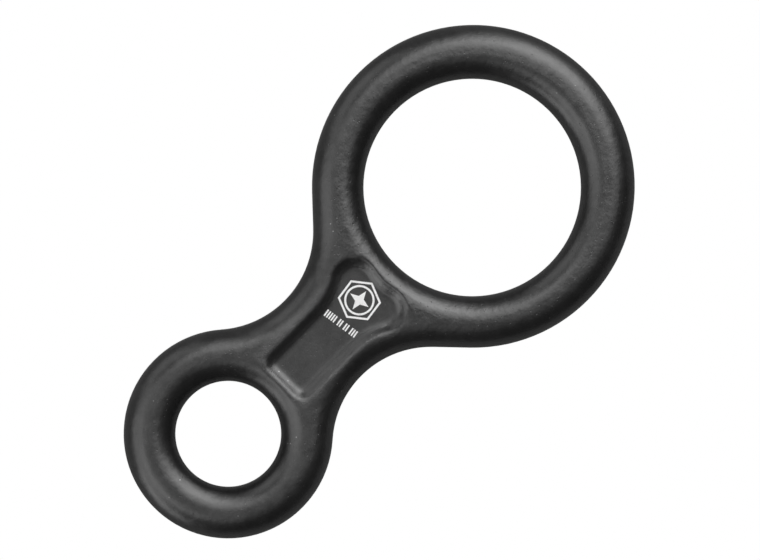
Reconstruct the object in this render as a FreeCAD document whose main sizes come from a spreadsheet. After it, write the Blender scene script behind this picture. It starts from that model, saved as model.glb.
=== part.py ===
"""Figure-eight descender: the one-piece forged rope brake that a climber abseils and belays with.

A big ring takes the bight of rope and a small ring takes the carabiner.  A waisted neck joins them.
Both rings are bars of nearly round section, left with a narrow land at mid-thickness where the
forging flash is trimmed off.  The neck has a shallow recess on each face.  The front recess carries
two filled engravings: a hexagonal badge and a row of strokes.

Frame: the origin is the centre of the carabiner eye at mid-thickness, +X runs along the device to
the rope eye, and +Z is square to the front face.  Lengths are in millimetres.
"""

import FreeCAD
import Part

import math
import os

import Sketcher

from FreeCAD import Vector

# Every driving size: alias, value, what it is.
SIZES = [
    ("eye_spacing", 84.5, "centre of the carabiner eye to centre of the rope eye"),
    ("rope_eye_radius", 26.5, "bore of the big ring"),
    ("rope_bar_width", 12.85, "bar of the big ring, measured at its sides"),
    ("crown_offset", 0.4, "how far the big ring's outside stands towards its crown"),
    ("carabiner_eye_radius", 12.9, "bore of the small ring"),
    ("carabiner_bar_width", 12.6, "bar of the small ring"),
    ("thickness", 12.8, "front face to back face"),
    ("flash_land", 1.2, "height of the trimmed land at mid-thickness"),
    ("crest_flat", 0.4, "least flat left on top of a bar between its two rounds"),
    ("waist_width", 26.2, "narrowest width of the neck"),
    ("shoulder_length", 9.0, "straight edge between the waist and the big ring"),
    ("recess_depth", 1.6, "face to recess floor"),
    ("recess_draft", 49.0, "lean of the recess wall, degrees"),
    ("recess_shift", -0.6, "how far the dies set the recess off the centre line"),
    ("recess_width", 14.0, "straight part of the recess, at the face"),
    ("recess_corner", 3.0, "corner radius at the carabiner end of the recess"),
    ("carabiner_rim", 4.9, "metal between the carabiner eye and the recess"),
    ("rope_rim", 4.1, "metal between the rope eye and the lobes of the recess"),
    ("lobe_radius", 5.85, "radius of the two lobes of the recess"),
    ("lobe_spread", 9.3, "distance between the centres of the lobes"),
    ("nose_radius", 9.0, "radius of the nose between the lobes"),
    ("flare_radius", 16.0, "curve that widens the recess towards its lobes"),
    ("recess_fillet", 1.0, "fillet where the recess floor meets its wall"),
    ("mark_depth", 0.15, "depth of the filled engravings"),
    ("mark_angle", 8.0, "turn of both engravings on the floor, degrees"),
    ("badge_inset", 12.35, "edge of the rope eye to the middle of the badge"),
    ("badge_shift", 0.2, "middle of the badge off the centre line"),
    ("badge_reach", 0.65, "how far the badge's corners pass the centres of the lobes"),
    ("badge_stroke", 0.5, "width of the badge's lines"),
    ("badge_gap", 0.4, "space between the badge's hexagon, ring and star"),
    ("star_waist", 0.75, "half-width of the star at its inner corners"),
    ("row_gap", 1.7, "side of the badge to the row of strokes"),
    ("row_margin", 0.2, "end of the row to the edge of the flat floor"),
    ("stroke_length", 1.8, "length of one stroke"),
    ("stroke_width", 0.38, "width of one stroke"),
    ("stroke_gap", 0.5, "extra space between two groups of strokes"),
]
STROKE_GROUPS = (5, 2, 2, 3)

ROPE_OUTSIDE = "sizes.rope_eye_radius + sizes.rope_bar_width"
EYE_OUTSIDE = "sizes.carabiner_eye_radius + sizes.carabiner_bar_width"
ROUND_BY_HEIGHT = "(sizes.thickness - sizes.flash_land) / 2"
ROUND_BY_BAR = "(min(sizes.rope_bar_width; sizes.carabiner_bar_width) - sizes.crest_flat) / 2"
LOBE_AT = "sizes.eye_spacing - sizes.rope_eye_radius - sizes.rope_rim - sizes.lobe_radius"
FLOOR = "sizes.thickness / 2 - sizes.recess_depth"
WALL_AND_FILLET = (
    "(sizes.recess_depth * tan(sizes.recess_draft * 1 deg)"
    " + sizes.recess_fillet * tan((90 - sizes.recess_draft) / 2 * 1 deg))"
)
HALF_ROW = f"(sizes.recess_width / 2 - {WALL_AND_FILLET} - sizes.row_margin)"
BADGE_RADIUS = "(sizes.lobe_spread / 2 + sizes.badge_reach)"
BADGE_AT = "(sizes.eye_spacing - sizes.rope_eye_radius - sizes.badge_inset)"
ROW_AT = f"({BADGE_AT} - {BADGE_RADIUS} * cos(30 deg) - sizes.row_gap - sizes.stroke_length / 2)"
HEXAGON_INSIDE = f"({BADGE_RADIUS} - sizes.badge_stroke / cos(30 deg))"
RING_OUTSIDE = f"({BADGE_RADIUS} * cos(30 deg) - sizes.badge_stroke - sizes.badge_gap)"
STAR_REACH = f"({RING_OUTSIDE} - sizes.badge_stroke - sizes.badge_gap)"

ON_START, ON_END, ON_CENTRE = 1, 2, 3
X_AXIS, ORIGIN_POINT = -1, (-1, 1)

document = FreeCAD.newDocument("figure_eight_descender")


def build_sheet():
    """The spreadsheet that every feature's sizes are bound to."""
    sheet = document.addObject("Spreadsheet::Sheet", "sizes")
    for row, (alias, value, meaning) in enumerate(SIZES, start=1):
        sheet.set(f"A{row}", alias)
        sheet.set(f"B{row}", str(value))
        sheet.setAlias(f"B{row}", alias)
        sheet.set(f"C{row}", meaning)
    document.recompute()
    return sheet


sizes = build_sheet()


def new_body(label):
    """An empty body whose label is its node's name."""
    body = document.addObject("PartDesign::Body", label)
    body.Label = label
    return body


def origin_plane(body, role):
    """One of the body's own origin planes."""
    return next(f for f in body.Origin.OriginFeatures if f.Role == role)


def level_sketch(body, name, height="0", forward="0", across="0", turn="0"):
    """A sketch parallel to the XY plane, whose own origin is placed by expressions."""
    sketch = body.newObject("Sketcher::SketchObject", name)
    sketch.AttachmentSupport = [(origin_plane(body, "XY_Plane"), "")]
    sketch.MapMode = "FlatFace"
    sketch.setExpression("AttachmentOffset.Base.x", forward)
    sketch.setExpression("AttachmentOffset.Base.y", across)
    sketch.setExpression("AttachmentOffset.Base.z", height)
    sketch.setExpression("AttachmentOffset.Rotation.Angle", turn)
    return sketch


def bind(sketch, name, expression, *constraint):
    """Adds a dimension to the sketch and ties it to the sheet."""
    index = sketch.addConstraint(Sketcher.Constraint(*constraint))
    sketch.renameConstraint(index, name)
    sketch.setExpression("Constraints." + name, expression)


def chain_tangent(sketch, joins):
    """Makes neighbouring curves meet end to end and tangent."""
    for first, first_end, second, second_end in joins:
        sketch.addConstraint(Sketcher.Constraint("Tangent", first, first_end, second, second_end))


def circle(centre, radius):
    """A full circle in the sketch's plane."""
    return Part.Circle(centre, Vector(0, 0, 1), radius)


def arc(centre, radius, start, end):
    """An arc of a circle, anticlockwise from start to end, in radians."""
    return Part.ArcOfCircle(circle(centre, radius), start, end)


def bearing(centre, point):
    """The direction from centre to point, in radians."""
    return math.atan2(point.y - centre.y, point.x - centre.x)


def waist_guess():
    """Where the waist arc starts out before the solver settles it: its centre and radius.

    It touches the small ring from outside, leaves the waist width, and stands far enough from the
    big ring for a straight shoulder of the stated length to touch both.
    """
    half_waist = sizes.waist_width / 2
    big = sizes.rope_eye_radius + sizes.rope_bar_width
    small = sizes.carabiner_eye_radius + sizes.carabiner_bar_width
    span = sizes.eye_spacing + sizes.crown_offset
    reach = (span**2 - sizes.shoulder_length**2 - big**2 + small**2) / (2 * span)
    share = (big - small) / span
    b = -2 * (reach * share + small - half_waist)
    c = reach**2 + half_waist**2 - small**2
    radius = (-b - math.sqrt(b**2 - 4 * share**2 * c)) / (2 * share**2)
    return Vector(reach - share * radius, radius + half_waist, 0), radius


def bottom(point):
    """The same point on the other side of the sketch's X axis."""
    return Vector(point.x, -point.y, 0)


def outline_sketch(body):
    """The outside of both rings and the neck, as arcs and shoulder lines, with the two bores."""
    sketch = level_sketch(body, "outline")
    big = sizes.rope_eye_radius + sizes.rope_bar_width
    small = sizes.carabiner_eye_radius + sizes.carabiner_bar_width
    ring_centre = Vector(sizes.eye_spacing + sizes.crown_offset, 0, 0)
    waist, waist_radius = waist_guess()
    gap = ring_centre - waist
    normal = Vector(-gap.y, gap.x, 0) * sizes.shoulder_length - gap * (big + waist_radius)
    normal.normalize()
    ring_touch = ring_centre + normal * big
    waist_touch = waist - normal * waist_radius
    ring_turn = bearing(ring_centre, ring_touch)
    eye_turn = bearing(Vector(), waist)
    waist_from, waist_to = bearing(waist, Vector()), bearing(waist, waist_touch)

    ring = sketch.addGeometry(arc(ring_centre, big, -ring_turn, ring_turn), False)
    shoulder = sketch.addGeometry(Part.LineSegment(ring_touch, waist_touch), False)
    upper = sketch.addGeometry(arc(waist, waist_radius, waist_from, waist_to), False)
    eye = sketch.addGeometry(arc(Vector(), small, eye_turn, 2 * math.pi - eye_turn), False)
    lower = sketch.addGeometry(arc(bottom(waist), waist_radius, -waist_to, -waist_from), False)
    lower_shoulder = sketch.addGeometry(
        Part.LineSegment(bottom(waist_touch), bottom(ring_touch)), False
    )
    chain_tangent(
        sketch,
        [
            (ring, ON_END, shoulder, ON_START),
            (shoulder, ON_END, upper, ON_END),
            (upper, ON_START, eye, ON_START),
            (eye, ON_END, lower, ON_END),
            (lower, ON_START, lower_shoulder, ON_START),
            (lower_shoulder, ON_END, ring, ON_START),
        ],
    )
    narrowest = sketch.addGeometry(Part.Point(Vector(waist.x, sizes.waist_width / 2, 0)), True)
    rope_bore = sketch.addGeometry(circle(Vector(sizes.eye_spacing, 0, 0), sizes.rope_eye_radius))
    eye_bore = sketch.addGeometry(circle(Vector(), sizes.carabiner_eye_radius))
    sketch.addConstraint(
        [
            Sketcher.Constraint("PointOnObject", ring, ON_CENTRE, X_AXIS),
            Sketcher.Constraint("PointOnObject", rope_bore, ON_CENTRE, X_AXIS),
            Sketcher.Constraint("Coincident", eye, ON_CENTRE, *ORIGIN_POINT),
            Sketcher.Constraint("Coincident", eye_bore, ON_CENTRE, *ORIGIN_POINT),
            Sketcher.Constraint("Symmetric", upper, ON_CENTRE, lower, ON_CENTRE, X_AXIS),
            Sketcher.Constraint("PointOnObject", narrowest, ON_START, upper),
            Sketcher.Constraint("Vertical", narrowest, ON_START, upper, ON_CENTRE),
        ]
    )
    crown_at = (*ORIGIN_POINT, ring, ON_CENTRE, ring_centre.x)
    bore_at = (*ORIGIN_POINT, rope_bore, ON_CENTRE, sizes.eye_spacing)
    waist_at = (*ORIGIN_POINT, narrowest, ON_START, sizes.waist_width / 2)
    bind(sketch, "crown_at", "sizes.eye_spacing + sizes.crown_offset", "DistanceX", *crown_at)
    bind(sketch, "bore_at", "sizes.eye_spacing", "DistanceX", *bore_at)
    bind(sketch, "half_waist", "sizes.waist_width / 2", "DistanceY", *waist_at)
    bind(sketch, "shoulder", "sizes.shoulder_length", "Distance", shoulder, sizes.shoulder_length)
    bind(sketch, "rope_outside", ROPE_OUTSIDE, "Radius", ring, big)
    bind(sketch, "eye_outside", EYE_OUTSIDE, "Radius", eye, small)
    bind(sketch, "rope_bore", "sizes.rope_eye_radius", "Radius", rope_bore, big)
    bind(sketch, "eye_bore", "sizes.carabiner_eye_radius", "Radius", eye_bore, small)
    return sketch


def recess_sketch(body):
    """The recess at the face: square at the carabiner eye, two lobes round a nose at the rope eye."""
    sketch = level_sketch(body, "recess", "sizes.thickness / 2", across="sizes.recess_shift")
    half = sizes.recess_width / 2
    corner, flare = sizes.recess_corner, sizes.flare_radius
    lobe, nose = sizes.lobe_radius, sizes.nose_radius
    end = sizes.carabiner_eye_radius + sizes.carabiner_rim
    lobe_at = Vector(
        sizes.eye_spacing - sizes.rope_eye_radius - sizes.rope_rim - lobe, sizes.lobe_spread / 2, 0
    )
    corner_at = Vector(end + corner, half - corner, 0)
    flare_rise = half + flare - lobe_at.y
    flare_at = Vector(
        lobe_at.x - math.sqrt((flare + lobe) ** 2 - flare_rise**2), half + flare, 0
    )
    nose_at = Vector(lobe_at.x + math.sqrt((lobe + nose) ** 2 - lobe_at.y**2), 0, 0)
    corner_end = Vector(corner_at.x, half, 0)
    flare_start = Vector(flare_at.x, half, 0)
    end_top = Vector(end, corner_at.y, 0)
    down = 1.5 * math.pi
    to_lobe, to_flare = bearing(flare_at, lobe_at), bearing(lobe_at, flare_at)
    to_nose = bearing(lobe_at, nose_at)
    from_nose = bearing(nose_at, lobe_at)

    shapes = [
        Part.LineSegment(bottom(end_top), end_top),
        arc(corner_at, corner, math.pi / 2, math.pi),
        Part.LineSegment(corner_end, flare_start),
        arc(flare_at, flare, down, to_lobe),
        arc(lobe_at, lobe, to_nose, to_flare),
        arc(nose_at, nose, from_nose, 2 * math.pi - from_nose),
        arc(bottom(lobe_at), lobe, -to_flare, -to_nose),
        arc(bottom(flare_at), flare, -to_lobe, -down),
        Part.LineSegment(bottom(flare_start), bottom(corner_end)),
        arc(bottom(corner_at), corner, math.pi, down),
    ]
    end_line, corner_1, side_1, flare_1, lobe_1, nose_arc, lobe_2, flare_2, side_2, corner_2 = (
        sketch.addGeometry(shape, False) for shape in shapes
    )
    chain_tangent(
        sketch,
        [
            (end_line, ON_END, corner_1, ON_END),
            (corner_1, ON_START, side_1, ON_START),
            (side_1, ON_END, flare_1, ON_START),
            (flare_1, ON_END, lobe_1, ON_END),
            (lobe_1, ON_START, nose_arc, ON_START),
            (nose_arc, ON_END, lobe_2, ON_END),
            (lobe_2, ON_START, flare_2, ON_START),
            (flare_2, ON_END, side_2, ON_START),
            (side_2, ON_END, corner_2, ON_END),
            (corner_2, ON_START, end_line, ON_START),
        ],
    )
    sketch.addConstraint(
        [
            Sketcher.Constraint("Vertical", end_line),
            Sketcher.Constraint("Horizontal", side_1),
            Sketcher.Constraint("Horizontal", side_2),
            Sketcher.Constraint("Equal", corner_1, corner_2),
            Sketcher.Constraint("Equal", flare_1, flare_2),
            Sketcher.Constraint("Equal", lobe_1, lobe_2),
            Sketcher.Constraint("Symmetric", lobe_1, ON_CENTRE, lobe_2, ON_CENTRE, X_AXIS),
        ]
    )
    end_x = (*ORIGIN_POINT, end_line, ON_START, end)
    top_y = (*ORIGIN_POINT, side_1, ON_START, half)
    bottom_y = (side_2, ON_START, *ORIGIN_POINT, half)
    lobe_x = (*ORIGIN_POINT, lobe_1, ON_CENTRE, lobe_at.x)
    spread = (lobe_2, ON_CENTRE, lobe_1, ON_CENTRE, sizes.lobe_spread)
    bind(sketch, "end_x", "sizes.carabiner_eye_radius + sizes.carabiner_rim", "DistanceX", *end_x)
    bind(sketch, "top_y", "sizes.recess_width / 2", "DistanceY", *top_y)
    bind(sketch, "bottom_y", "sizes.recess_width / 2", "DistanceY", *bottom_y)
    bind(sketch, "lobe_x", LOBE_AT, "DistanceX", *lobe_x)
    bind(sketch, "spread", "sizes.lobe_spread", "DistanceY", *spread)
    bind(sketch, "corner", "sizes.recess_corner", "Radius", corner_1, corner)
    bind(sketch, "flare", "sizes.flare_radius", "Radius", flare_1, flare)
    bind(sketch, "lobe", "sizes.lobe_radius", "Radius", lobe_1, lobe)
    bind(sketch, "nose", "sizes.nose_radius", "Radius", nose_arc, nose)
    return sketch


def draw_polygon(sketch, name, corners):
    """A closed polygon; each corner is a pair of expressions measured from the sketch's origin."""
    points = [Vector(*(sketch.evalExpression(c) for c in corner), 0) for corner in corners]
    lines = [
        sketch.addGeometry(Part.LineSegment(point, points[(i + 1) % len(points)]), False)
        for i, point in enumerate(points)
    ]
    for i, line in enumerate(lines):
        following = lines[(i + 1) % len(lines)]
        sketch.addConstraint(Sketcher.Constraint("Coincident", line, ON_END, following, ON_START))
    for i, (line, point, (along, across)) in enumerate(zip(lines, points, corners)):
        at_x = (*ORIGIN_POINT, line, ON_START, point.x)
        at_y = (*ORIGIN_POINT, line, ON_START, point.y)
        bind(sketch, f"{name}_x{i}", along, "DistanceX", *at_x)
        bind(sketch, f"{name}_y{i}", across, "DistanceY", *at_y)


def draw_circle(sketch, name, radius):
    """A circle about the sketch's origin; the radius is an expression."""
    value = sketch.evalExpression(radius)
    index = sketch.addGeometry(circle(Vector(), value), False)
    sketch.addConstraint(Sketcher.Constraint("Coincident", index, ON_CENTRE, *ORIGIN_POINT))
    bind(sketch, name, radius, "Radius", index, value)


def draw_hexagon(sketch, name, radius):
    """A regular hexagon about the origin, with two corners on the Y axis."""
    turns = [30 + 60 * k for k in range(6)]
    corners = [(f"({radius}) * cos({a} deg)", f"({radius}) * sin({a} deg)") for a in turns]
    draw_polygon(sketch, name, corners)


def draw_badge(sketch):
    """A hexagonal line, a ring inside it, and a solid four-pointed star inside the ring."""
    draw_hexagon(sketch, "hexagon_outside", BADGE_RADIUS)
    draw_hexagon(sketch, "hexagon_inside", HEXAGON_INSIDE)
    draw_circle(sketch, "ring_outside", RING_OUTSIDE)
    draw_circle(sketch, "ring_inside", RING_OUTSIDE + " - sizes.badge_stroke")
    corners = []
    for x, y in ((1, 0), (0, 1), (-1, 0), (0, -1)):
        corners.append((f"{x} * {STAR_REACH}", f"{y} * {STAR_REACH}"))
        corners.append((f"{x - y} * sizes.star_waist", f"{x + y} * sizes.star_waist"))
    draw_polygon(sketch, "star", corners)


def draw_strokes(sketch):
    """Four groups of upright strokes in a row along the sketch's Y axis."""
    steps = sum(STROKE_GROUPS) - 1
    gaps = len(STROKE_GROUPS) - 1
    start = f"({HALF_ROW} - sizes.stroke_width / 2)"
    pitch = f"((2 * {start} - {gaps} * sizes.stroke_gap) / {steps})"
    count = 0
    for group, size in enumerate(STROKE_GROUPS):
        for _ in range(size):
            middle = f"{start} - {count} * {pitch} - {group} * sizes.stroke_gap"
            sides = [f"{sign} * sizes.stroke_length / 2" for sign in (-1, 1)]
            ends = [f"{middle} + {sign} * sizes.stroke_width / 2" for sign in (-1, 1)]
            corners = [
                (sides[0], ends[0]),
                (sides[1], ends[0]),
                (sides[1], ends[1]),
                (sides[0], ends[1]),
            ]
            draw_polygon(sketch, f"stroke{count}", corners)
            count += 1


def flat_edges(shape, height):
    """The names of the edges that lie whole at one height, above or below mid-thickness."""
    names = []
    for number, edge in enumerate(shape.Edges, start=1):
        box = edge.BoundBox
        if max(abs(abs(box.ZMin) - height), abs(abs(box.ZMax) - height)) < 1e-6:
            names.append(f"Edge{number}")
    return names


def add_pocket(body, name, base, sketch, depth, draft="0 deg"):
    """Cuts the sketch downwards into the base feature and makes sure that metal has gone.

    The cutter stands as far above the sketch as it reaches below, so it meets no face edge on.
    """
    pocket = body.newObject("PartDesign::Pocket", name)
    pocket.Profile = sketch
    pocket.SideType = "Two sides"
    pocket.setExpression("Length", depth)
    pocket.setExpression("Length2", depth)
    pocket.setExpression("TaperAngle", f"-({draft})")
    pocket.setExpression("TaperAngle2", draft)
    document.recompute()
    if pocket.Shape.Volume > base.Shape.Volume - 1.0:
        raise RuntimeError(f"{name} removed nothing")
    return pocket


def round_edges(body, name, base, heights, radius):
    """Fillets every edge of the base feature that lies flat at one of the heights."""
    fillet = body.newObject("PartDesign::Fillet", name)
    fillet.Base = (base, flat_edges(base.Shape, heights))
    fillet.setExpression("Radius", radius)
    document.recompute()
    return fillet


def build_forging():
    """The one metal piece: blank, rounded bars, recess on both faces, engravings."""
    body = new_body("forged_body")
    outline = outline_sketch(body)
    blank = body.newObject("PartDesign::Pad", "blank")
    blank.Profile = outline
    blank.SideType = "Symmetric"
    blank.setExpression("Length", "sizes.thickness")
    document.recompute()

    bar_radius = f"min({ROUND_BY_HEIGHT}; {ROUND_BY_BAR})"
    bars = round_edges(body, "bar_rounds", blank, sizes.thickness / 2, bar_radius)
    recess = recess_sketch(body)
    draft = "sizes.recess_draft * 1 deg"
    front = add_pocket(body, "front_recess", bars, recess, "sizes.recess_depth", draft)
    back = body.newObject("PartDesign::Mirrored", "back_recess")
    back.Originals = [front]
    back.MirrorPlane = (origin_plane(body, "XY_Plane"), [""])
    body.Tip = back
    document.recompute()
    if back.Shape.Volume > front.Shape.Volume - 1.0:
        raise RuntimeError("the back recess removed nothing")
    floor = sizes.thickness / 2 - sizes.recess_depth
    recessed = round_edges(body, "recess_rounds", back, floor, "sizes.recess_fillet")

    badge = level_sketch(
        body, "badge_groove", FLOOR, BADGE_AT, "sizes.badge_shift", "sizes.mark_angle"
    )
    draw_badge(badge)
    badged = add_pocket(body, "badge_cut", recessed, badge, "sizes.mark_depth")
    strokes = level_sketch(
        body, "stroke_groove", FLOOR, ROW_AT, "sizes.recess_shift", "sizes.mark_angle"
    )
    draw_strokes(strokes)
    body.Tip = add_pocket(body, "stroke_cut", badged, strokes, "sizes.mark_depth")
    document.recompute()
    return body


def build_inlay(label, draw, forward, across):
    """The filling of one engraving, with its own origin in the middle of the mark on the floor."""
    body = new_body(label)
    body.setExpression("Placement.Base.x", forward)
    body.setExpression("Placement.Base.y", across)
    body.setExpression("Placement.Base.z", FLOOR)
    body.setExpression("Placement.Rotation.Angle", "sizes.mark_angle")
    sketch = level_sketch(body, label + "_outline")
    draw(sketch)
    filling = body.newObject("PartDesign::Pad", label + "_filling")
    filling.Profile = sketch
    filling.Reversed = True
    filling.setExpression("Length", "sizes.mark_depth")
    document.recompute()
    return body


def check_and_export(bodies):
    """Refuses a failed feature or a bad solid, then writes one STEP file for each body."""
    for item in document.Objects:
        if {"Invalid", "Error"} & set(item.State):
            raise RuntimeError(f"{item.Label} did not build: {item.State}")
    for body in bodies:
        shape = body.Shape
        if shape.isNull() or not shape.isValid() or not shape.Solids:
            raise RuntimeError(f"{body.Label} has no valid solid")
        print(f"{body.Label}: {len(shape.Solids)} solids, {shape.Volume:.2f} mm3, {shape.BoundBox}")
    os.makedirs("parts", exist_ok=True)
    for body in bodies:
        body.Shape.exportStep(f"parts/{body.Label}.step")


check_and_export(
    [
        build_forging(),
        build_inlay("badge_inlay", draw_badge, BADGE_AT, "sizes.badge_shift"),
        build_inlay("stroke_inlay", draw_strokes, ROW_AT, "sizes.recess_shift"),
    ]
)
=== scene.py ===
"""The looks of a figure-eight descender: a satin black forging with two plain white marks.

Lengths are in metres.  The origin is the centre of the carabiner eye at mid-thickness, +X runs to the
rope eye and +Z is square to the marked face.
"""

import logging
import math
from abc import ABC, abstractmethod
from dataclasses import dataclass, field
from enum import Enum
from typing import Any, Callable, Union

import bmesh
import bpy
from mathutils import Matrix, Vector


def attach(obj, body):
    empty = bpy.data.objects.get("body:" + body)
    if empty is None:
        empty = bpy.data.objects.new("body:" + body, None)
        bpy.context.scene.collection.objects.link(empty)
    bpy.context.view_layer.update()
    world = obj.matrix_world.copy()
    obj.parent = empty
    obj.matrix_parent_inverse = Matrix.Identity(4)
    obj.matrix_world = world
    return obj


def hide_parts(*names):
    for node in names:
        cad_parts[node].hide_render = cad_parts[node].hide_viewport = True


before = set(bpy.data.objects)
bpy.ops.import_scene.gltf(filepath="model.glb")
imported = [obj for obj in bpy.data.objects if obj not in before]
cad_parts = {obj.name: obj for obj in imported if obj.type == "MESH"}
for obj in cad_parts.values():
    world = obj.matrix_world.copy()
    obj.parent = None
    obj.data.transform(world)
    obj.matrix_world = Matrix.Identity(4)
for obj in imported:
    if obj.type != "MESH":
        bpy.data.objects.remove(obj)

log = logging.getLogger("descender")
MM = 0.001
HALF_THICKNESS = 6.4 * MM
FLOOR_OF_RECESS = 4.8 * MM
MIDDLE_OF_RECESS = 36.0 * MM
REACH_OF_RECESS = 19.0 * MM


class Slot(Enum):
    """The material slot names."""

    METAL = "anodised_aluminium"
    MARK = "mark_fill"


class Signal:
    """A shader socket that can be used in Python expressions."""

    def __init__(self, tree: bpy.types.NodeTree, socket: bpy.types.NodeSocket) -> None:
        """Wraps one output socket.

        Args:
            tree: The node tree that the socket is in.
            socket: The output socket.
        """
        self.tree = tree
        self.socket = socket

    def _math(self, operation: str, *values: "Value", clamp: bool = False) -> "Signal":
        """Adds a Math node.

        Args:
            operation: The Math node's operation.
            values: Its inputs, numbers or signals.
            clamp: Whether the result is kept between 0 and 1.

        Returns:
            The node's result.
        """
        node = self.tree.nodes.new("ShaderNodeMath")
        node.operation = operation
        node.use_clamp = clamp
        for socket, value in zip(node.inputs, values):
            if isinstance(value, Signal):
                self.tree.links.new(value.socket, socket)
            else:
                socket.default_value = value
        return Signal(self.tree, node.outputs[0])

    def __add__(self, other: "Value") -> "Signal":
        """Adds a number or a signal."""
        return self._math("ADD", self, other)

    def __radd__(self, other: float) -> "Signal":
        """Adds this signal to a number."""
        return self._math("ADD", other, self)

    def __sub__(self, other: "Value") -> "Signal":
        """Takes away a number or a signal."""
        return self._math("SUBTRACT", self, other)

    def __rsub__(self, other: float) -> "Signal":
        """Takes this signal away from a number."""
        return self._math("SUBTRACT", other, self)

    def __mul__(self, other: "Value") -> "Signal":
        """Multiplies by a number or a signal."""
        return self._math("MULTIPLY", self, other)

    def __rmul__(self, other: float) -> "Signal":
        """Multiplies a number by this signal."""
        return self._math("MULTIPLY", other, self)

    def __pow__(self, other: "Value") -> "Signal":
        """Raises to a power."""
        return self._math("POWER", self, other)

    def __abs__(self) -> "Signal":
        """The size without its sign."""
        return self._math("ABSOLUTE", self)

    def step(self, low: float, high: float) -> "Signal":
        """Rises smoothly from 0 at low to 1 at high, or falls if low is the larger.

        Args:
            low: The value that gives 0.
            high: The value that gives 1.

        Returns:
            The smoothed ramp.
        """
        ramp = self._math("DIVIDE", self - low, high - low, clamp=True)
        return ramp * ramp * (3.0 - 2.0 * ramp)


Value = Union[Signal, float]


class Shader:
    """A material's node tree, with one method that adds any node."""

    def __init__(self, name: str) -> None:
        """Starts an empty material.

        Args:
            name: The material's name.
        """
        self.material = bpy.data.materials.new(name)
        self.material.use_nodes = True
        self.tree = self.material.node_tree
        self.tree.nodes.clear()

    def node(
        self, kind: str, settings: dict[str, Any], inputs: dict[Any, Any], output: str | int = 0
    ) -> Signal:
        """Adds a node.

        Args:
            kind: The node's type.
            settings: Its properties.
            inputs: Values or signals for its sockets, by name or number.
            output: Which output is wanted.

        Returns:
            That output as a signal.
        """
        node = self.tree.nodes.new(kind)
        for key, value in settings.items():
            setattr(node, key, value)
        for key, value in inputs.items():
            if isinstance(value, Signal):
                self.tree.links.new(value.socket, node.inputs[key])
            else:
                node.inputs[key].default_value = value
        return Signal(self.tree, node.outputs[output])

    def place(self) -> Signal:
        """Object coordinates, in metres."""
        return self.node("ShaderNodeTexCoord", {}, {}, "Object")

    def noise(self, place: Signal, size: float, detail: float = 2.0, rough: float = 0.5) -> Signal:
        """Soft noise around 0.5.

        Args:
            place: The coordinates.
            size: The width of one bump.
            detail: How many finer layers are added.
            rough: How strong the finer layers are.

        Returns:
            The noise.
        """
        inputs = {"Vector": place, "Scale": 1.0 / size, "Detail": detail, "Roughness": rough}
        return self.node("ShaderNodeTexNoise", {}, inputs, "Fac")

    def grey(self, amount: Signal, dark: float, light: float) -> Signal:
        """A neutral colour between two greys.

        Args:
            amount: 0 for the dark grey, 1 for the light one.
            dark: The dark grey.
            light: The light grey.

        Returns:
            The colour.
        """
        inputs = {0: amount, 6: (dark, dark, dark, 1.0), 7: (light, light, light, 1.0)}
        return self.node("ShaderNodeMix", {"data_type": "RGBA"}, inputs, 2)

    def finish(self, surface: Signal) -> bpy.types.Material:
        """Connects the surface and hands over the material.

        Args:
            surface: The shader's output.

        Returns:
            The finished material.
        """
        output = self.tree.nodes.new("ShaderNodeOutputMaterial")
        self.tree.links.new(surface.socket, output.inputs["Surface"])
        return self.material


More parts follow.
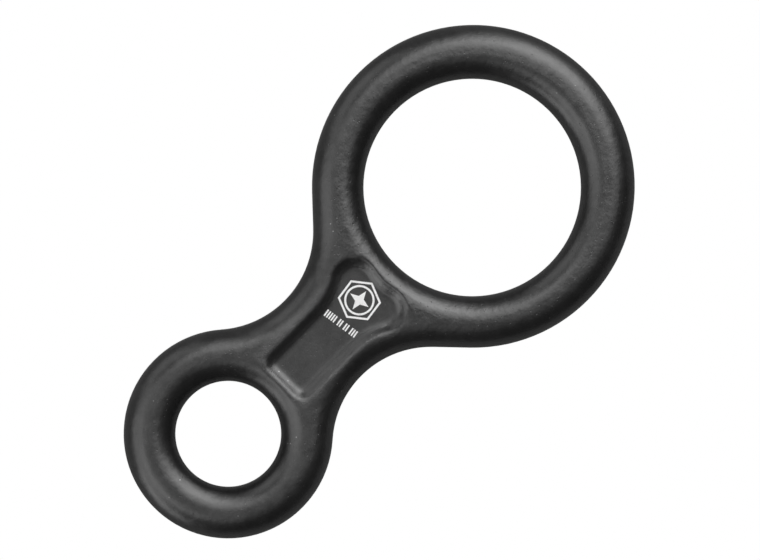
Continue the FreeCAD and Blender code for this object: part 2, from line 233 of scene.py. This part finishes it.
@dataclass(frozen=True)
class BlackAnodising:
    """Satin black anodising over a shot-blasted forging, rubbed a little where the rope runs.

    Heights are in millimetres, because the bump is given one millimetre as its unit.
    """

    dark: float = 0.085
    light: float = 0.118
    smooth: float = 0.26
    rough: float = 0.44
    wave: float = 2.4 * MM
    wave_height: float = 0.088
    grain: float = 0.42 * MM
    grain_height: float = 0.008
    pit_spacing: float = 1.25 * MM
    pit_radius: float = 0.20 * MM
    pit_height: float = 0.035
    chip_spacing: float = 2.6 * MM
    chip_radius: float = 0.22 * MM
    bare: float = 0.34
    cloud: float = 9.0 * MM
    rope_eye: float = 84.5 * MM
    rope_path: float = 31.6 * MM
    rope_path_half_width: float = 5.0 * MM
    recess_half_width: float = 10.9 * MM
    wall_middle: float = 35.0 * MM
    wall_reach: float = 18.0 * MM
    wall_half_width: float = 9.8 * MM

    def coined(self, axes: list[Signal]) -> Signal:
        """Marks the flat floors of the two recesses, which the die leaves smoother.

        Args:
            axes: The object coordinates X, Y and Z.

        Returns:
            1 on the floors, 0 elsewhere.
        """
        along, across, up = axes
        flat = abs(abs(up) - FLOOR_OF_RECESS).step(0.25 * MM, 0.05 * MM)
        lengthwise = abs(along - MIDDLE_OF_RECESS).step(REACH_OF_RECESS, REACH_OF_RECESS - 1.0 * MM)
        crosswise = abs(across).step(self.recess_half_width, self.recess_half_width - 0.7 * MM)
        return flat * lengthwise * crosswise

    def drawn_and_highlit(self, axes: list[Signal]) -> Signal:
        """Marks the sloping walls of the two recesses, where the die has dragged on the metal and a
        highlight is painted.

        Args:
            axes: The object coordinates X, Y and Z.

        Returns:
            1 on the walls, 0 elsewhere.
        """
        along, across, up = axes
        above = abs(up).step(FLOOR_OF_RECESS, FLOOR_OF_RECESS + 0.3 * MM)
        lengthwise = abs(along - self.wall_middle).step(self.wall_reach, self.wall_reach - 1.5 * MM)
        crosswise = abs(across).step(self.wall_half_width, self.wall_half_width - 1.8 * MM)
        return above * lengthwise * crosswise

    def rope_rub(self, axes: list[Signal]) -> Signal:
        """Marks the crest of the rope eye, strongest where the rope bears on the neck.

        Args:
            axes: The object coordinates X, Y and Z.

        Returns:
            0 where the surface is as made, 1 where the rope has rubbed it.
        """
        along = axes[0] - self.rope_eye
        radius = (along * along + axes[1] * axes[1]) ** 0.5
        crest = abs(radius - self.rope_path).step(self.rope_path_half_width, 1.0 * MM)
        bearing = along.step(-8.0 * MM, -32.0 * MM)
        return crest * (0.25 + 0.75 * bearing)

    def dots(self, shader: Shader, place: Signal, spacing: float, radius: float) -> Signal:
        """Scatters small round dots.

        Args:
            shader: The material's nodes.
            place: Object coordinates.
            spacing: About how far apart they are.
            radius: The radius of one dot.

        Returns:
            1 in the middle of a dot, 0 away from it.
        """
        inputs = {"Vector": place, "Scale": 1.0 / spacing}
        away = shader.node("ShaderNodeTexVoronoi", {"feature": "F1"}, inputs, "Distance")
        return away.step(radius / spacing, 0.3 * radius / spacing)

    def material(self) -> bpy.types.Material:
        """Makes the material.

        Returns:
            The material.
        """
        shader = Shader("black_anodising")
        place = shader.place()
        wave = shader.noise(place, self.wave, 2.0, 0.55)
        grain = shader.noise(place, self.grain, 3.0, 0.6)
        cloud = shader.noise(place, self.cloud, 3.0, 0.55)
        axes = [shader.node("ShaderNodeSeparateXYZ", {}, {"Vector": place}, axis) for axis in "XYZ"]
        rub = self.rope_rub(axes)
        floor = self.coined(axes)
        wall = self.drawn_and_highlit(axes)
        pit = self.dots(shader, place, self.pit_spacing, self.pit_radius)
        chip = self.dots(shader, place, self.chip_spacing, self.chip_radius)
        chip = chip * cloud.step(0.52, 0.62) * (1.0 - 0.7 * floor)

        height = self.wave_height * wave * (1.0 + 0.5 * rub) * (1.0 - 0.75 * floor)
        height = height + self.grain_height * grain * (1.0 + rub + 5.0 * wall)
        height = height - self.pit_height * pit
        bump = shader.node("ShaderNodeBump", {}, {"Height": height, "Distance": MM}, "Normal")

        tone = 0.45 * cloud + 0.35 * wave + 0.30 * grain
        satin = 0.5 * cloud + 0.3 * wave + 0.4 * grain
        roughness = self.smooth + (self.rough - self.smooth) * satin + 0.04 * floor
        roughness = roughness - 0.05 * rub - 0.10 * pit + 0.02 * wall
        black = self.dark + (self.light - self.dark) * tone.step(0.25, 0.85)
        # Base colour: a painted highlight makes the recess walls 25% lighter, the recess floors are
        # 10% darker, and the chips are lighter bare metal where the anodising is worn through.
        wear_and_painted_light = black * (1.0 - 0.10 * floor + 0.25 * wall) + (self.bare - self.dark) * chip
        surface = shader.node(
            "ShaderNodeBsdfPrincipled",
            {},
            {
                "Base Color": shader.grey(wear_and_painted_light, 0.0, 1.0),
                "Metallic": 1.0,
                "Roughness": roughness,
                "Normal": bump,
            },
        )
        return shader.finish(surface)


@dataclass(frozen=True)
class WhiteFill:
    """Matt white filling of the marks, a little uneven where it was wiped off."""

    dull: float = 0.80
    bright: float = 0.97
    roughness: float = 0.55
    cloud: float = 0.9 * MM
    grain: float = 0.12 * MM
    grain_height: float = 0.006

    def material(self) -> bpy.types.Material:
        """Makes the material.

        Returns:
            The material.
        """
        shader = Shader("white_fill")
        place = shader.place()
        cloud = shader.noise(place, self.cloud, 2.0, 0.5)
        grain = shader.noise(place, self.grain, 2.0, 0.5)
        height = {"Height": self.grain_height * grain, "Distance": MM}
        surface = shader.node(
            "ShaderNodeBsdfPrincipled",
            {},
            {
                "Base Color": shader.grey(cloud.step(0.25, 0.50), self.dull, self.bright),
                "Roughness": self.roughness + 0.25 * (cloud - 0.5),
                "Normal": shader.node("ShaderNodeBump", {}, height, "Normal"),
            },
        )
        return shader.finish(surface)


def settle(name: str, bm: bmesh.types.BMesh, smooth: bool) -> bpy.types.Object:
    """Turns a bmesh into a linked object.

    Args:
        name: The object's name.
        bm: The mesh data, freed here.
        smooth: Whether the faces are shaded smooth.

    Returns:
        The object.
    """
    for face in bm.faces:
        face.smooth = smooth
    mesh = bpy.data.meshes.new(name)
    bm.to_mesh(mesh)
    bm.free()
    piece = bpy.data.objects.new(name, mesh)
    bpy.context.scene.collection.objects.link(piece)
    return piece


@dataclass
class Forging:
    """The metal piece: two rings of round bar on a waisted neck, with a recess in each face."""

    node: str = "forged_body"
    skin: float = 0.32 * MM
    blend_passes: int = 4
    recess_passes: int = 16
    groove_depth: float = 0.2 * MM
    grooves_start: float = 35.0 * MM
    grooves_end: float = 51.0 * MM
    grooves_half_width: float = 5.7 * MM
    soft_above: float = 4.6 * MM
    soft_half_width: float = 12.0 * MM
    face_limit: int = 190_000

    def solid(self) -> bmesh.types.BMesh:
        """A merged copy of the machined shape, with the engraved grooves filled flush.

        Returns:
            The copy.
        """
        bm = bmesh.new()
        bm.from_mesh(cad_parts[self.node].data)
        bmesh.ops.remove_doubles(bm, verts=bm.verts, dist=0.001 * MM)
        low = FLOOR_OF_RECESS - self.groove_depth
        for vert in bm.verts:
            sunk = low < vert.co.z < FLOOR_OF_RECESS
            by_marks = self.grooves_start < vert.co.x < self.grooves_end
            if sunk and by_marks and abs(vert.co.y) < self.grooves_half_width:
                vert.co.z = FLOOR_OF_RECESS
        return bm

    def by_recess(self, point: Vector) -> bool:
        """Tells whether a point is in or near a recess, where the die leaves soft walls.

        Args:
            point: The point.

        Returns:
            True in or near either recess.
        """
        lengthwise = abs(point.x - MIDDLE_OF_RECESS) < REACH_OF_RECESS
        return abs(point.z) > self.soft_above and lengthwise and abs(point.y) < self.soft_half_width

    def build(self) -> bpy.types.Object:
        """Gives the shape one even skin, so that its faces run into each other as forged metal does.

        Returns:
            The piece.
        """
        rough = settle("rough", self.solid(), False)
        remesh = rough.modifiers.new("skin", "REMESH")
        remesh.mode = "VOXEL"
        remesh.voxel_size = self.skin
        graph = bpy.context.evaluated_depsgraph_get()
        skinned = bpy.data.meshes.new_from_object(rough.evaluated_get(graph))
        bpy.data.objects.remove(rough)
        bm = bmesh.new()
        bm.from_mesh(skinned)
        around = [vert for vert in bm.verts if self.by_recess(vert.co)]
        for verts, passes in ((bm.verts, self.blend_passes), (around, self.recess_passes)):
            for _ in range(passes):
                bmesh.ops.smooth_vert(
                    bm, verts=verts, factor=0.5, use_axis_x=True, use_axis_y=True, use_axis_z=True
                )
        piece = settle("forging", bm, True)
        # The skin is all quads, and the ratio counts triangles.
        thin = piece.modifiers.new("thin", "DECIMATE")
        thin.ratio = self.face_limit / (2 * len(piece.data.polygons))
        graph = bpy.context.evaluated_depsgraph_get()
        lean = bpy.data.meshes.new_from_object(piece.evaluated_get(graph))
        piece.modifiers.clear()
        piece.data = lean
        return piece

    def dress(self, piece: bpy.types.Object, finish: BlackAnodising) -> None:
        """Puts the finish on and ties the piece to the part.

        Args:
            piece: The forging.
            finish: Its finish.
        """
        piece.data.materials.clear()
        piece.data.materials.append(finish.material())
        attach(piece, "root")
        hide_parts(self.node)


@dataclass
class Mark(ABC):
    """One flat mark on the recess floor."""

    name: str
    node: str
    centre: Vector
    turn: float = math.radians(8.0)
    lift: float = 0.09 * MM

    @abstractmethod
    def outline(self, bm: bmesh.types.BMesh) -> None:
        """Draws the flat mark about the origin."""

    def build(self) -> bpy.types.Object:
        """Thickens the flat mark and sets it on the floor of the recess.

        Returns:
            The piece.
        """
        bm = bmesh.new()
        self.outline(bm)
        raised = bmesh.ops.extrude_face_region(bm, geom=list(bm.faces))["geom"]
        top = [item for item in raised if isinstance(item, bmesh.types.BMVert)]
        bmesh.ops.translate(bm, verts=top, vec=(0, 0, self.lift))
        bmesh.ops.recalc_face_normals(bm, faces=bm.faces)
        place = Matrix.Translation(self.centre) @ Matrix.Rotation(self.turn, 4, "Z")
        bmesh.ops.transform(bm, matrix=place, verts=bm.verts)
        return settle(self.name, bm, False)

    def dress(self, piece: bpy.types.Object, finish: WhiteFill) -> None:
        """Puts the finish on and ties the piece to the part.

        Args:
            piece: The mark.
            finish: Its finish.
        """
        piece.data.materials.append(finish.material())
        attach(piece, "root")
        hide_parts(self.node)


@dataclass
class Badge(Mark):
    """A hexagonal line with a ring and a four-pointed star inside it."""

    corner: float = 5.3 * MM
    stroke: float = 0.5 * MM
    gap: float = 0.4 * MM
    star_waist: float = 0.75 * MM

    def band(self, bm: bmesh.types.BMesh, outer: float, inner: float, sides: int) -> None:
        """Adds a closed line round the origin.

        Args:
            bm: Where it goes.
            outer: Centre to outer corner.
            inner: Centre to inner corner.
            sides: Number of corners.
        """
        spin = Matrix.Rotation(math.pi / 2, 4, "Z")
        rims = []
        for radius in (outer, inner):
            made = bmesh.ops.create_circle(bm, segments=sides, radius=radius, matrix=spin)
            rims += {edge for vert in made["verts"] for edge in vert.link_edges}
        bmesh.ops.bridge_loops(bm, edges=rims)

    def outline(self, bm: bmesh.types.BMesh) -> None:
        """Draws the hexagon, the ring and the star.

        Args:
            bm: Where they go.
        """
        flat = math.cos(math.pi / 6)
        self.band(bm, self.corner, self.corner - self.stroke / flat, 6)
        ring = self.corner * flat - self.stroke - self.gap
        self.band(bm, ring, ring - self.stroke, 96)
        reach = ring - self.stroke - self.gap
        star = bmesh.ops.create_circle(bm, cap_ends=True, segments=8, radius=reach)["verts"]
        for vert in star:
            if min(abs(vert.co.x), abs(vert.co.y)) > 0.1 * reach:
                vert.co *= self.star_waist * math.sqrt(2) / reach


@dataclass
class StrokeRow(Mark):
    """Four groups of short upright strokes."""

    groups: tuple[int, ...] = (5, 2, 2, 3)
    half_row: float = 4.586 * MM
    length: float = 1.8 * MM
    width: float = 0.38 * MM
    gap: float = 0.5 * MM

    def outline(self, bm: bmesh.types.BMesh) -> None:
        """Draws the strokes, one group after another.

        Args:
            bm: Where they go.
        """
        start = self.half_row - self.width / 2
        pitch = (2 * start - (len(self.groups) - 1) * self.gap) / (sum(self.groups) - 1)
        owners = [group for group, size in enumerate(self.groups) for _ in range(size)]
        for count, group in enumerate(owners):
            middle = start - count * pitch - group * self.gap
            shape = Matrix.Diagonal((self.length / 2, self.width / 2, 1, 1))
            place = Matrix.Translation((0, middle, 0)) @ shape
            bmesh.ops.create_grid(bm, x_segments=1, y_segments=1, size=1.0, matrix=place)


@dataclass(frozen=True)
class Softbox:
    """One square area light that faces the part.

    The tilt is from straight up and the bearing is from +X towards +Y, both in degrees.  The power is
    in watts.
    """

    tilt: float
    bearing: float
    power: float
    size: float
    distance: float = 0.9


@dataclass
class Studio:
    """The floor, the lights and the camera."""

    centre: Vector = field(default_factory=lambda: Vector((52.67 * MM, 0.10 * MM, 0)))
    view_width: float = 185.27 * MM
    camera_height: float = 1.5
    camera_turn: float = math.radians(-45.28)
    sensor: float = 36.0
    sky: float = 0.07
    white: float = 1.0
    bounce: float = 0.30
    # Painted contact shadow: the paper in view greys within this reach under the part, down to this
    # grey.
    contact_shadow_reach: float = 3.2 * MM
    contact_shadow_grey: float = 0.3
    paper_size: float = 2.0
    paper_drop: float = 0.02 * MM
    lights: tuple[Softbox, ...] = (
        Softbox(36, 18, 2.21, 1.15),
        Softbox(30, 30, 1.85, 0.70),
        Softbox(50, 10, 2.37, 0.70),
        Softbox(50, 150, 2.57, 0.90),
        Softbox(28, 180, 0.55, 0.50),
        Softbox(70, 90, 0.94, 0.60),
        Softbox(82, 180, 1.20, 0.50),
        Softbox(77, 20, 1.00, 0.70),
    )

    def paper(self, name: str, surface: Callable[[Shader], Signal], seen: bool, drop: float) -> None:
        """Lays plain white paper under the part.

        Args:
            name: The paper's name.
            surface: Makes its surface in a new material.
            seen: True for the paper in view, False for the one that only lights the part.
            drop: How far it lies below the part.
        """
        bm = bmesh.new()
        bmesh.ops.create_grid(bm, x_segments=1, y_segments=1, size=self.paper_size)
        bmesh.ops.translate(bm, verts=bm.verts, vec=(0, 0, -HALF_THICKNESS - drop))
        paper = settle(name, bm, False)
        shader = Shader(name)
        paper.data.materials.append(shader.finish(surface(shader)))
        paper.visible_camera = seen
        paper.visible_shadow = not seen
        paper.visible_glossy = not seen
        paper.visible_diffuse = not seen

    def glow(self, shader: Shader) -> Signal:
        """The bright white of the paper in view, with a painted contact shadow: greyer just where the
        part touches it.

        Args:
            shader: The paper's nodes.

        Returns:
            The surface.
        """
        # Painted shadow: ambient occlusion greys the glowing paper close under the part.
        reach = {"Distance": self.contact_shadow_reach}
        open_sky = shader.node("ShaderNodeAmbientOcclusion", {"samples": 16}, reach, "AO")
        tint = shader.grey(open_sky.step(0.0, 0.5), self.contact_shadow_grey, 1.0)
        return shader.node("ShaderNodeEmission", {}, {"Color": tint, "Strength": self.white})

    def matt(self, shader: Shader) -> Signal:
        """The matt white that sends light back up."""
        tint = (self.bounce, self.bounce, self.bounce, 1.0)
        return shader.node("ShaderNodeBsdfDiffuse", {}, {"Color": tint})

    def light(self, box: Softbox, name: str) -> None:
        """Hangs one softbox, aimed at the middle of the part.

        Args:
            box: The softbox.
            name: Its name.
        """
        lamp = bpy.data.lights.new(name, "AREA")
        lamp.shape = "SQUARE"
        lamp.size = box.size
        lamp.energy = box.power
        tilt, bearing = math.radians(box.tilt), math.radians(box.bearing)
        level = math.sin(tilt)
        towards = Vector((level * math.cos(bearing), level * math.sin(bearing), math.cos(tilt)))
        hung = bpy.data.objects.new(name, lamp)
        hung.location = self.centre + towards * box.distance
        hung.rotation_euler = towards.to_track_quat("Z", "Y").to_euler()
        hung.visible_camera = False
        bpy.context.scene.collection.objects.link(hung)

    def world(self) -> None:
        """Fills the room with an even, weak light."""
        world = bpy.data.worlds.new("room")
        world.use_nodes = True
        background = world.node_tree.nodes["Background"]
        background.inputs["Color"].default_value = (1, 1, 1, 1)
        background.inputs["Strength"].default_value = self.sky
        bpy.context.scene.world = world

    def camera(self) -> None:
        """Sets the camera square above the part, with the part lying across the frame."""
        data = bpy.data.cameras.new("camera")
        data.sensor_width = self.sensor
        data.lens = self.sensor * self.camera_height / self.view_width
        data.clip_end = 10.0
        camera = bpy.data.objects.new("camera", data)
        camera.location = self.centre + Vector((0, 0, self.camera_height))
        camera.rotation_euler = (0, 0, self.camera_turn)
        bpy.context.scene.collection.objects.link(camera)
        bpy.context.scene.camera = camera

    def build(self) -> None:
        """Sets up the whole studio."""
        self.paper("floor", self.glow, True, self.paper_drop)
        self.paper("floor_bounce", self.matt, False, 2 * self.paper_drop)
        self.world()
        self.camera()
        for number, box in enumerate(self.lights):
            self.light(box, f"softbox_{number}")
        bpy.context.scene.view_settings.view_transform = "Standard"


def main() -> None:
    """Builds the part's pieces in order."""
    logging.basicConfig(level=logging.INFO, format="%(name)s: %(message)s")
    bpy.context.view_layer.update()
    metal = BlackAnodising()
    white = WhiteFill()

    forging = Forging()
    piece = forging.build()
    forging.dress(piece, metal)
    log.info("forging: %d faces", len(piece.data.polygons))

    marks: tuple[Mark, ...] = (
        Badge("badge", "badge_inlay", Vector((45.65 * MM, 0.2 * MM, FLOOR_OF_RECESS))),
        StrokeRow("stroke_row", "stroke_inlay", Vector((38.46 * MM, -0.6 * MM, FLOOR_OF_RECESS))),
    )
    for mark in marks:
        piece = mark.build()
        mark.dress(piece, white)
        log.info("%s: %d faces", mark.name, len(piece.data.polygons))

    Studio().build()


if __name__ == "__main__":
    main()
